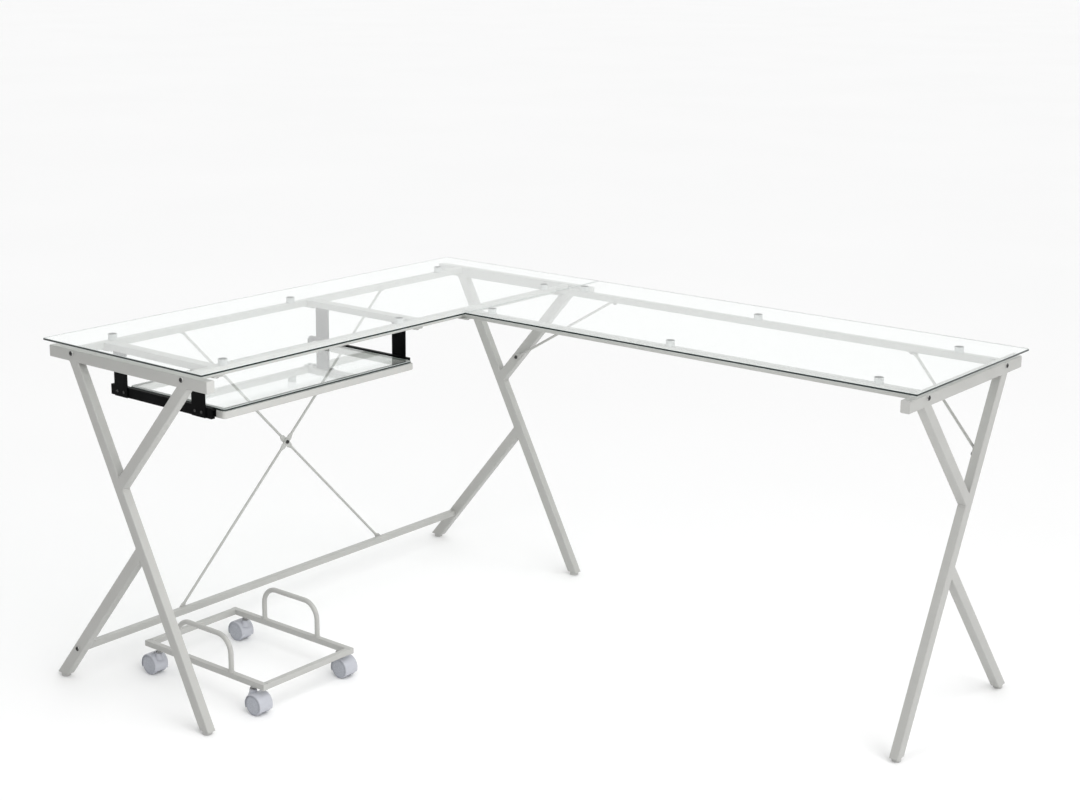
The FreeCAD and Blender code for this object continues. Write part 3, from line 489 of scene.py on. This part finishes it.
right_u = leg_line[0, 0] + (frame_top - right_low_z) * lean
right_foot = np.array(in_frame("right", right_u, -flat_half_depth, right_low_z))
right_head = np.array((right_back_high[0] - right_knee_run, right_mid_y, under_rail))
shape = bent_rod(right_head, (0, 0, -1), right_foot, (-1, 0, 0))
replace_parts(made("right_knee", [shape], "desk", [powder_coat], crease=50), "right_knee_rod")

# ------------------------------------------------------------------ desk glass
# Two sheets of 5 mm clear tempered glass with polished edges. The edge faces at the front, the left, the open
# end and the seam get painted shade, a near-black green; those towards the walls keep the pale polished
# finish. The small bevels beside them are ground.
sheet_bevel = 0.0006


def clear_glass():
    """Clear glass: smooth transmission with a faint green in its depth; lamps shine through."""
    finish, net, links, shader = shader_start("clear tempered glass")
    shader.inputs["Base Color"].default_value = (1, 1, 1, 1)
    shader.inputs["Transmission Weight"].default_value = 1.0
    shader.inputs["Roughness"].default_value = 0.0
    shader.inputs["IOR"].default_value = 1.5
    wave = grain(net, links, 3.0, 1.0)
    bumps = net.new("ShaderNodeBump")
    bumps.inputs["Strength"].default_value = 0.02
    bumps.inputs["Distance"].default_value = 0.001
    links.new(wave.outputs["Fac"], bumps.inputs["Height"])
    links.new(bumps.outputs["Normal"], shader.inputs["Normal"])
    pass_light = net.new("ShaderNodeBsdfTransparent")
    pass_light.inputs["Color"].default_value = (0.97, 0.985, 0.975, 1)
    ray = net.new("ShaderNodeLightPath")
    choice = net.new("ShaderNodeMixShader")
    output = net["Material Output"]
    links.new(ray.outputs["Is Shadow Ray"], choice.inputs["Fac"])
    links.new(shader.outputs["BSDF"], choice.inputs[1])
    links.new(pass_light.outputs["BSDF"], choice.inputs[2])
    links.new(choice.outputs["Shader"], output.inputs["Surface"])
    depth = net.new("ShaderNodeVolumeAbsorption")
    depth.inputs["Color"].default_value = (0.35, 0.75, 0.6, 1)
    depth.inputs["Density"].default_value = 6.0
    links.new(depth.outputs["Volume"], output.inputs["Volume"])
    return finish


sheet_glass = clear_glass()
polished_edge = textured("polished glass edge", (0.26, 0.33, 0.30), (0.30, 0.37, 0.34), (0.03, 0.08),
                         0.01, 0.0)
edge_shader = polished_edge.node_tree.nodes["Principled BSDF"]
edge_shader.inputs["Transmission Weight"].default_value = 0.6
edge_shader.inputs["IOR"].default_value = 1.5
# painted shade: near-black green finish for the glass edge faces that face the front and the left
painted_shade_edge = textured("dark green glass edge", (0.006, 0.011, 0.010), (0.011, 0.017, 0.016), (0.05, 0.12),
                     0.01, 0.0)
ground_bevel = textured("ground glass bevel", (0.62, 0.68, 0.66), (0.7, 0.75, 0.73), (0.45, 0.6),
                        0.0008, 0.00001)


def sheet(low, high, radius, bevel):
    """Flat sheet with round corners: rows of the same outline go from the middle of the lower
    face out to the bevel, up the edge, over the upper bevel and back to the middle. The outline
    is four quarter circles about the corner centres."""
    (x0, y0, z0), (x1, y1, z1) = low, high
    quarter = np.linspace(0, pi / 2, 9)
    turn = np.concatenate([quarter + k * pi / 2 for k in range(4)])
    corner_x = np.repeat([x1 - radius, x0 + radius, x0 + radius, x1 - radius], 9)
    corner_y = np.repeat([y1 - radius, y1 - radius, y0 + radius, y0 + radius], 9)
    rows = []
    for inset, z in ((radius, z0), (bevel, z0), (0, z0 + bevel), (0, z1 - bevel), (bevel, z1), (radius, z1)):
        x = corner_x + (radius - inset) * np.cos(turn)
        y = corner_y + (radius - inset) * np.sin(turn)
        rows.append(np.stack([x, y, 0 * x + z], -1))
    middle = np.array([(x0 + x1) / 2, (y0 + y1) / 2, 0])
    first = np.repeat([middle + (0, 0, z0)], 36, 0)
    last = np.repeat([middle + (0, 0, z1)], 36, 0)
    return np.stack([first] + rows + [last])


desk_glass_corner = 0.0025
glass_finishes = [sheet_glass, ground_bevel, polished_edge, painted_shade_edge]
glass_bands = [0, 0, 1, 2, 1, 0, 0]


def paint_shade_on_edges(pane, at_seam):
    """Paint shade on the edge faces whose normal points to the front or the left, and at the seam on those
    that point back to the other sheet: they take the near-black painted shade finish instead of the polished
    one."""
    faces = pane.data.polygons
    looks, ways = np.zeros(len(faces), np.int32), np.zeros(3 * len(faces), np.float32)
    faces.foreach_get("material_index", looks)
    faces.foreach_get("normal", ways)
    across, along = ways.reshape(-1, 3)[:, 0], ways.reshape(-1, 3)[:, 1]
    # painted shade goes on these edge faces
    dark = (across > 0.3) | (along < -0.3) | (at_seam & (across < -0.9))
    looks[(looks == 2) & dark] = 3
    faces.foreach_set("material_index", looks)


for name in ("left_glass_top", "right_glass_top"):
    grid = sheet(*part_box(name), desk_glass_corner, sheet_bevel)
    pane = made(name.replace("_glass_top", "_desk_glass"), [grid], "desk", glass_finishes,
                glass_bands)
    paint_shade_on_edges(pane, name.startswith("right"))
    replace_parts(pane, name)

# ------------------------------------------------------------------ glass support pads
# Twelve round smoky plastic pads stand on the long rails and carry the glass; each has a thin
# flange at both ends and a slightly narrower waist.
smoky_plastic = textured("smoky pad plastic", (0.36, 0.375, 0.37), (0.44, 0.455, 0.45), (0.15, 0.3),
                         0.002, 0.00001, drift=0.01)


def turned(place, axis, side, profile, count):
    """Turned shape: each (radius, height) of the profile becomes a ring about the axis."""
    place, axis, side = (np.array(v, float) for v in (place, axis, side))
    other = np.cross(axis, side)
    turn = around(count)
    radius, height = np.array(profile).T
    ring = np.cos(turn)[:, None] * side + np.sin(turn)[:, None] * other
    return place + height[:, None, None] * axis + radius[:, None, None] * ring


pad_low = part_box("glass_support_pads")[0][2]
pad_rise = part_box("glass_support_pads")[1][2] - pad_low
pad_profile = [(0, 0), (0.0092, 0), (0.0098, 0.0004), (0.01, 0.0009), (0.01, 0.0018), (0.0096, 0.0022),
               (0.0094, 0.003), (0.0094, 0.0088), (0.0096, 0.0096), (0.01, 0.01), (0.01, 0.0113),
               (0.0097, 0.0117), (0.009, pad_rise), (0, pad_rise)]
left_low, left_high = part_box("left_glass_top")
right_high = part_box("right_glass_top")[1]
pad_inset, seam_inset = 0.120, 0.016
spots = []
for rail in ("left_back_rail", "left_front_rail"):
    low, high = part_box(rail)
    x = (low[0] + high[0]) / 2
    ends = (left_low[1] + pad_inset, left_high[1] - pad_inset)
    spots += [(x, ends[0]), (x, sum(ends) / 2), (x, ends[1])]
for rail in ("right_back_rail", "right_front_rail"):
    low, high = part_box(rail)
    y = (low[1] + high[1]) / 2
    ends = (left_high[0] + seam_inset - 0.001, right_high[0] - pad_inset)
    spots += [(ends[0], y), (sum(ends) / 2, y), (ends[1], y)]
pads = [turned((x, y, pad_low), (0, 0, 1), (1, 0, 0), pad_profile, 40) for x, y in spots]
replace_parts(made("glass_pads", pads, "desk", [smoky_plastic], crease=40), "glass_support_pads")

# ------------------------------------------------------------------ tray supports
# Pressed steel hangers and three-member ball slides, satin black, screwed under two cross tubes.
black_paint = textured("satin black paint", (0.003, 0.003, 0.0032), (0.006, 0.006, 0.0065),
                       (0.38, 0.5), 0.001, 0.00001)
black_paint.node_tree.nodes["Principled BSDF"].inputs["Specular IOR Level"].default_value = 0.03
nodes["slide_hangers"].material_slots[0].material = black_paint
nodes["joint_plates"].material_slots[0].material = powder_coat
for side in ("left", "right"):
    for member in ("outer", "middle", "inner"):
        nodes[side + "_slide_" + member].material_slots[0].material = black_paint

# ------------------------------------------------------------------ keyboard tray
# A sheet of 5 mm glass lies on a ring of 15 mm tube in the frame's paint.
tray_glass_corner = 0.008
tray_sheet = sheet(*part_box("tray_glass"), tray_glass_corner, sheet_bevel)
tray_pane = made("keyboard_tray_glass", [tray_sheet], "tray", glass_finishes, glass_bands)
paint_shade_on_edges(tray_pane, False)
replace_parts(tray_pane, "tray_glass")

# ------------------------------------------------------------------ computer caddy
# A ring of 13 mm square tube with two handles bent from 11 mm rod, welded on and painted.
caddy_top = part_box("caddy_left_tube")[1][2]
handle_low, handle_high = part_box("caddy_handles")
handle_radius, bend = 0.0055, 0.038


def caddy_handle(y):
    """Bent handle: its path goes up, round a quarter circle, across, round and down in one upright
    plane, and a ring square to the path is carried along it."""
    x0, x1 = handle_low[0] + handle_radius, handle_high[0] - handle_radius
    top = handle_high[2] - handle_radius
    a = np.linspace(0, pi / 2, 17)
    x = np.concatenate([[x0, x0], x0 + bend * (1 - np.cos(a)), x1 - bend * (1 - np.cos(a[::-1])), [x1, x1]])
    z = np.concatenate([[caddy_top - 0.001, caddy_top + 0.01], top - bend * (1 - np.sin(a)),
                        top - bend * (1 - np.sin(a[::-1])), [caddy_top + 0.01, caddy_top - 0.001]])
    lean_by = np.concatenate([[0, 0], a, pi - a[::-1], [pi, pi]])
    turn = around(28)
    out_x, out_z = -np.cos(lean_by), np.sin(lean_by)
    ring_x = x[:, None] + handle_radius * np.cos(turn) * out_x[:, None]
    ring_z = z[:, None] + handle_radius * np.cos(turn) * out_z[:, None]
    ring_y = y + handle_radius * np.sin(turn) + 0 * ring_x
    grid = np.stack([ring_x, ring_y, ring_z], -1)
    ends = [np.repeat([[x[k], y, z[k]]], 28, 0)[None] for k in (0, -1)]
    return np.concatenate([ends[0], grid, ends[1]])


def ring_bead(centre, radius, size):
    """Weld round a rod's foot: a ring whose section, a circle, swells 14 times on its way round."""
    along = around(112)
    swell = size * (1 + 0.1 * np.cos(14 * along))
    turn = around(10)
    out = radius + swell[:, None] * np.cos(turn)
    grid = np.stack([centre[0] + out * np.cos(along)[:, None], centre[1] + out * np.sin(along)[:, None],
                     centre[2] + 0.8 * swell[:, None] * np.sin(turn)], -1)
    return np.concatenate([grid, grid[:1]])


handle_lines = [(handle_low[1] + handle_radius), (handle_high[1] - handle_radius)]
handles = made("bent_handles", [caddy_handle(y) for y in handle_lines], "caddy", [powder_coat])
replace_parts(handles, "caddy_handles")
rings = [ring_bead((x, y, caddy_top), handle_radius, 0.0014) for y in handle_lines
         for x in (handle_low[0] + handle_radius, handle_high[0] - handle_radius)]
made("handle_welds", rings, "caddy", [powder_coat])

# ------------------------------------------------------------------ casters
# Four twin-wheel furniture casters in pale plastic with a blue tint: a hood over both wheels,
# smooth wheel covers with a rim line, and a plated stem with a snap ring.
hood_plastic = textured("pale caster hood", (0.43, 0.44, 0.48), (0.45, 0.46, 0.50), (0.18, 0.28),
                        0.002, 0.000006)
wheel_plastic = textured("pale caster wheel", (0.36, 0.375, 0.415), (0.38, 0.395, 0.435), (0.2, 0.32),
                         0.002, 0.000006)
stem_plating = textured("plated caster stem", (0.3, 0.3, 0.3), (0.42, 0.42, 0.42), (0.15, 0.3),
                        0.001, 0.000004, metallic=1.0)
wheel_profile = [(0, 0.0049), (0.0045, 0.0049), (0.017, 0.0049), (0.0206, 0.0052), (0.0216, 0.0062),
                 (0.022, 0.0075), (0.022, 0.0142), (0.0217, 0.0158), (0.0208, 0.0169), (0.0196, 0.0173),
                 (0.0188, 0.0172), (0.0186, 0.0166), (0.0182, 0.0166), (0.018, 0.0172), (0.0165, 0.0174),
                 (0.009, 0.0175), (0, 0.0175)]
axle_profile = [(0, -0.006), (0.003, -0.006), (0.003, 0.006), (0, 0.006)]
web_profile = [(0, -0.004), (0.0205, -0.004), (0.021, -0.0035), (0.021, 0.0035), (0.0205, 0.004), (0, 0.004)]
pin_profile = [(0, 0.0455), (0.0034, 0.0455), (0.0034, 0.0503), (0.0058, 0.0504), (0.007, 0.051),
               (0.007, 0.0528), (0.0058, 0.0534), (0.005, 0.0536), (0.005, 0.0545), (0.0055, 0.0547),
               (0.0055, 0.0556), (0.005, 0.0558), (0.005, 0.067), (0, 0.067)]
caster_trail, hood_radius = 0.016, 0.0245


def caster_hood(centre, stem, outer, half):
    """Hood: a strip with round edges carried along an arc about the axle, a disc between the
    wheels and a flared neck under the stem."""
    start = -0.41   # angle of the strip's lower ends, below the axle
    angle = np.linspace(start, pi - start, 41)
    wall, round_edge = 0.0017, 0.0024
    b = np.linspace(0, pi / 2, 6)
    r_out = np.concatenate([outer - round_edge * (1 - np.sin(b)), outer - round_edge * (1 - np.sin(b[::-1]))])
    w_out = np.concatenate([half - round_edge * (1 - np.cos(b)),
                            -(half - round_edge * (1 - np.cos(b[::-1])))])
    r_in = np.array([outer - wall - 0.0007, outer - wall, outer - wall, outer - wall - 0.0007])
    w_in = np.array([-half, -half + 0.003, half - 0.003, half])
    radial, wide = np.concatenate([r_out, r_in]), np.concatenate([w_out, w_in])
    x = centre[0] + np.cos(angle)[:, None] * radial
    z = centre[2] + np.sin(angle)[:, None] * radial
    strip = np.stack([x, centre[1] + wide + 0 * x, z], -1)
    caps = [np.repeat(strip[k].mean(0)[None], len(wide), 0)[None] for k in (0, -1)]
    strip = np.concatenate([caps[0], strip, caps[1]])
    disc = turned(centre, (0, 1, 0), (1, 0, 0), web_profile, 48)
    neck_top = 0.050
    neck = turned((stem[0], stem[1], 0), (0, 0, 1), (1, 0, 0),
                  [(0, 0.036), (0.0115, 0.036), (0.0098, 0.0405), (0.0086, 0.0438), (0.008, 0.0465),
                   (0.008, neck_top - 0.0006), (0.0074, neck_top), (0, neck_top)], 40)
    return [strip, disc, neck]


stems = []
for place in ("left_back", "left_front", "right_back", "right_front"):
    low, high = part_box("caster_wheels_" + place)
    axle = ((low[0] + high[0]) / 2, (low[1] + high[1]) / 2, (low[2] + high[2]) / 2)
    hood_low, hood_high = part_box("caster_hood_" + place)
    way = -1 if place.endswith("back") else 1
    stem = (axle[0] - way * caster_trail, axle[1])
    half = (hood_high[1] - hood_low[1]) / 2
    wheels = [turned(axle, (0, side, 0), (1, 0, 0), wheel_profile, 56) for side in (1, -1)]
    wheels.append(turned(axle, (0, 1, 0), (1, 0, 0), axle_profile, 24))
    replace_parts(made("wheels_" + place, wheels, "wheels_" + place, [wheel_plastic]),
                "caster_wheels_" + place)
    shapes = caster_hood(axle, stem, hood_radius, half)
    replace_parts(made("hood_" + place, shapes, "hood_" + place, [hood_plastic]),
                "caster_hood_" + place)
    stems.append(turned((stem[0], stem[1], 0), (0, 0, 1), (1, 0, 0), pin_profile, 32))
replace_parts(made("caster_stem_pins", stems, "caddy", [stem_plating]), "caster_stems")
